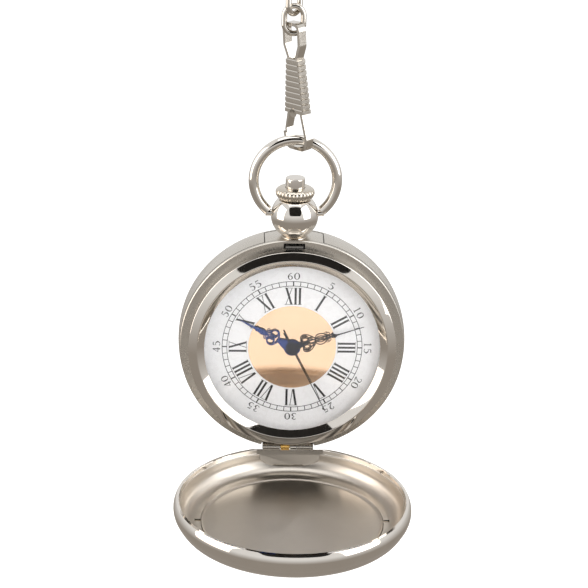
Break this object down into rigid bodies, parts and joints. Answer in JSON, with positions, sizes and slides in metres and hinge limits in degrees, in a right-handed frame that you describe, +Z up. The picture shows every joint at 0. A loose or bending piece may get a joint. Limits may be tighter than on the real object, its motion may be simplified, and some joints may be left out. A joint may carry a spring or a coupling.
{
  "type": "pocket watch",
  "caption": "Hunter-cased pocket watch hanging open from a sleeve clasp and chain links, with a domed glass, printed dial and centre seconds hand.",
  "frame": {"origin": "free end of the chain: the top of the last link, over the clasp", "axes": "+Z up along the chain, -Y towards the dial side and the viewer, +X to the viewer's right"},
  "size_m": [0.0506, 0.0592, 0.1202],
  "materials": {
    "polished_nickel": "mirror polish, warm",
    "satin_nickel": "fine satin, warm",
    "cover_inside_satin": "circular satin",
    "chain_nickel": "polished wire",
    "crystal_glass": "clear, polished",
    "gasket_nylon": "natural nylon",
    "gasket_rubber": "matt",
    "dial_enamel": "satin white lacquer",
    "rose_gold": "mirror polish",
    "blued_hands": "gloss blue lacquer",
    "movement_plastic": "moulded grey",
    "movement_nickel": "plain plated",
    "wheel_brass": "stamped, plain",
    "hard_steel": "ground",
    "spring_brass": "drawn wire",
    "cell_steel": "plated cup",
    "board_green": "solder mask",
    "copper_wire": "enamelled wire"
  },
  "bodies": {
    "chain_top": {"chain_link_3": "chain_nickel"},
    "chain_middle": {"chain_link_2": "chain_nickel"},
    "chain_low": {"chain_link_1": "chain_nickel"},
    "ring": {"chain_ring": "chain_nickel"},
    "clasp": {"clasp_body": "polished_nickel", "clasp_sleeve": "polished_nickel", "clasp_rivet": "chain_nickel"},
    "gate": {"clasp_gate": "polished_nickel"},
    "bow": {"bow": "polished_nickel"},
    "case": {"mid_case": "satin_nickel", "case_hinge_knuckles": "satin_nickel", "bezel": "polished_nickel", "crystal": "crystal_glass", "crystal_gasket": "gasket_nylon", "back_gasket": "gasket_rubber", "hinge_pin": "hard_steel", "hinge_spring": "spring_brass", "dial_plate": "dial_enamel", "dial_center_disc": "rose_gold", "movement_ring": "movement_plastic", "main_plate": "movement_nickel", "train_bridge": "movement_nickel", "movement_screws": "hard_steel", "battery": "cell_steel", "battery_clamp": "movement_nickel", "circuit_board": "board_green", "quartz_can": "movement_nickel", "coil_core": "hard_steel", "coil_winding": "copper_wire", "stator": "hard_steel", "setting_lever": "hard_steel", "yoke": "hard_steel", "latch_screw": "hard_steel", "pendant": "polished_nickel", "pendant_tube": "hard_steel"},
    "front_cover": {"front_cover": "polished_nickel", "front_cover_plate": "cover_inside_satin", "front_cover_knuckle": "polished_nickel"},
    "rear_cover": {"rear_cover": "satin_nickel"},
    "clutch": {"sliding_pinion": "hard_steel"},
    "crown": {"crown": "satin_nickel", "winding_stem": "hard_steel", "button_washer": "hard_steel"},
    "button": {"crown_button": "polished_nickel", "button_collar": "hard_steel", "button_pin": "hard_steel"},
    "latch": {"latch_spring": "hard_steel"},
    "seconds": {"second_hand": "blued_hands", "fourth_wheel": "wheel_brass"},
    "minutes": {"minute_hand": "blued_hands", "centre_wheel": "wheel_brass"},
    "hours": {"hour_hand": "blued_hands", "hour_wheel": "wheel_brass"},
    "third": {"third_wheel": "wheel_brass"},
    "intermediate": {"intermediate_wheel": "wheel_brass"},
    "rotor": {"motor_rotor": "hard_steel"},
    "minute_wheel": {"minute_wheel": "wheel_brass"},
    "setting_wheel": {"setting_wheel": "wheel_brass"}
  },
  "joints": [
    {"name": "chain_swing_upper", "type": "hinge", "parent": "chain_top", "child": "chain_middle", "pos_m": [0, 0, -0.006], "axis": [0.6428, 0.766, 0], "range_deg": [-30, 30]},
    {"name": "chain_swing_lower", "type": "hinge", "parent": "chain_middle", "child": "chain_low", "pos_m": [0, 0, -0.01015], "axis": [0.766, -0.6428, 0], "range_deg": [-30, 30]},
    {"name": "ring_swing", "type": "hinge", "parent": "chain_low", "child": "ring", "pos_m": [0, 0, -0.0143], "axis": [0.6428, 0.766, 0], "range_deg": [-8, 8]},
    {"name": "clasp_swing", "type": "hinge", "parent": "ring", "child": "clasp", "pos_m": [0, 0, -0.0165], "axis": [0, 1, 0], "range_deg": [-25, 25]},
    {"name": "gate_open", "type": "hinge", "parent": "clasp", "child": "gate", "pos_m": [0.00003, 0.00134, -0.03384], "axis": [-0.7644, -0.6428, -0.0508], "range_deg": [0, 20], "stiffness_Nm_per_rad": 0.002, "springref_deg": -20.05},
    {"name": "bow_slide_in_hook", "type": "hinge", "parent": "clasp", "child": "bow", "pos_m": [0.00107, 0, -0.05045], "axis": [0, 1, 0], "range_deg": [-45, 45]},
    {"name": "bow_pivot", "type": "hinge", "parent": "bow", "child": "case", "pos_m": [0.00107, 0, -0.0578], "axis": [1, 0, 0], "range_deg": [-90, 90]},
    {"name": "cover_hinge", "type": "hinge", "parent": "case", "child": "front_cover", "pos_m": [0.00107, -0.0031, -0.1119], "axis": [1, 0, 0], "range_deg": [-91, 0], "stiffness_Nm_per_rad": 0.003, "springref_deg": 20.05},
    {"name": "rear_cover_pull", "type": "slide", "parent": "case", "child": "rear_cover", "axis": [0, 1, 0], "range_m": [0, 0.012]},
    {"name": "crown_turn", "type": "hinge", "parent": "case", "child": "clutch", "pos_m": [0.00107, 0, -0.0797], "axis": [0, 0, 1], "continuous": true},
    {"name": "crown_pull", "type": "slide", "parent": "clutch", "child": "crown", "axis": [0, 0, 1], "range_m": [0, 0.0012]},
    {"name": "button_press", "type": "slide", "parent": "crown", "child": "button", "axis": [0, 0, -1], "range_m": [0, 0.0008], "stiffness_N_per_m": 500, "springref_m": -0.001},
    {"name": "catch_release", "type": "hinge", "parent": "case", "child": "latch", "pos_m": [0.01593, -0.0021, -0.0712], "axis": [0, -1, 0], "range_deg": [0, 1.5]},
    {"name": "seconds_turn", "type": "hinge", "parent": "case", "child": "seconds", "pos_m": [0.00107, -0.0015, -0.0877], "axis": [0, 1, 0], "continuous": true},
    {"name": "minutes_turn", "type": "hinge", "parent": "case", "child": "minutes", "pos_m": [0.00107, -0.0015, -0.0877], "axis": [0, 1, 0], "continuous": true},
    {"name": "hours_turn", "type": "hinge", "parent": "case", "child": "hours", "pos_m": [0.00107, -0.0015, -0.0877], "axis": [0, 1, 0], "continuous": true},
    {"name": "third_wheel_turn", "type": "hinge", "parent": "case", "child": "third", "pos_m": [-0.00199, -0.0015, -0.0877], "axis": [0, 1, 0], "continuous": true},
    {"name": "intermediate_wheel_turn", "type": "hinge", "parent": "case", "child": "intermediate", "pos_m": [0.00211, -0.0015, -0.09057], "axis": [0, 1, 0], "continuous": true},
    {"name": "rotor_turn", "type": "hinge", "parent": "case", "child": "rotor", "pos_m": [0.00075, -0.0015, -0.09252], "axis": [0, 1, 0], "continuous": true},
    {"name": "minute_wheel_turn", "type": "hinge", "parent": "case", "child": "minute_wheel", "pos_m": [0.00107, -0.0015, -0.0853], "axis": [0, 1, 0], "continuous": true},
    {"name": "setting_wheel_turn", "type": "hinge", "parent": "case", "child": "setting_wheel", "pos_m": [0.00107, -0.0015, -0.08206], "axis": [0, 1, 0], "continuous": true}
  ],
  "couplings": [
    {"joint": "minutes_turn", "follows": "seconds_turn", "ratio": 0.016667},
    {"joint": "hours_turn", "follows": "seconds_turn", "ratio": 0.0013889},
    {"joint": "third_wheel_turn", "follows": "seconds_turn", "ratio": -0.13333},
    {"joint": "intermediate_wheel_turn", "follows": "seconds_turn", "ratio": -5},
    {"joint": "rotor_turn", "follows": "seconds_turn", "ratio": 30},
    {"joint": "minute_wheel_turn", "follows": "seconds_turn", "ratio": -0.0055556},
    {"joint": "setting_wheel_turn", "follows": "seconds_turn", "ratio": 0.0069444},
    {"joint": "catch_release", "follows": "button_press", "rad_per_m": 29.45}
  ]
}
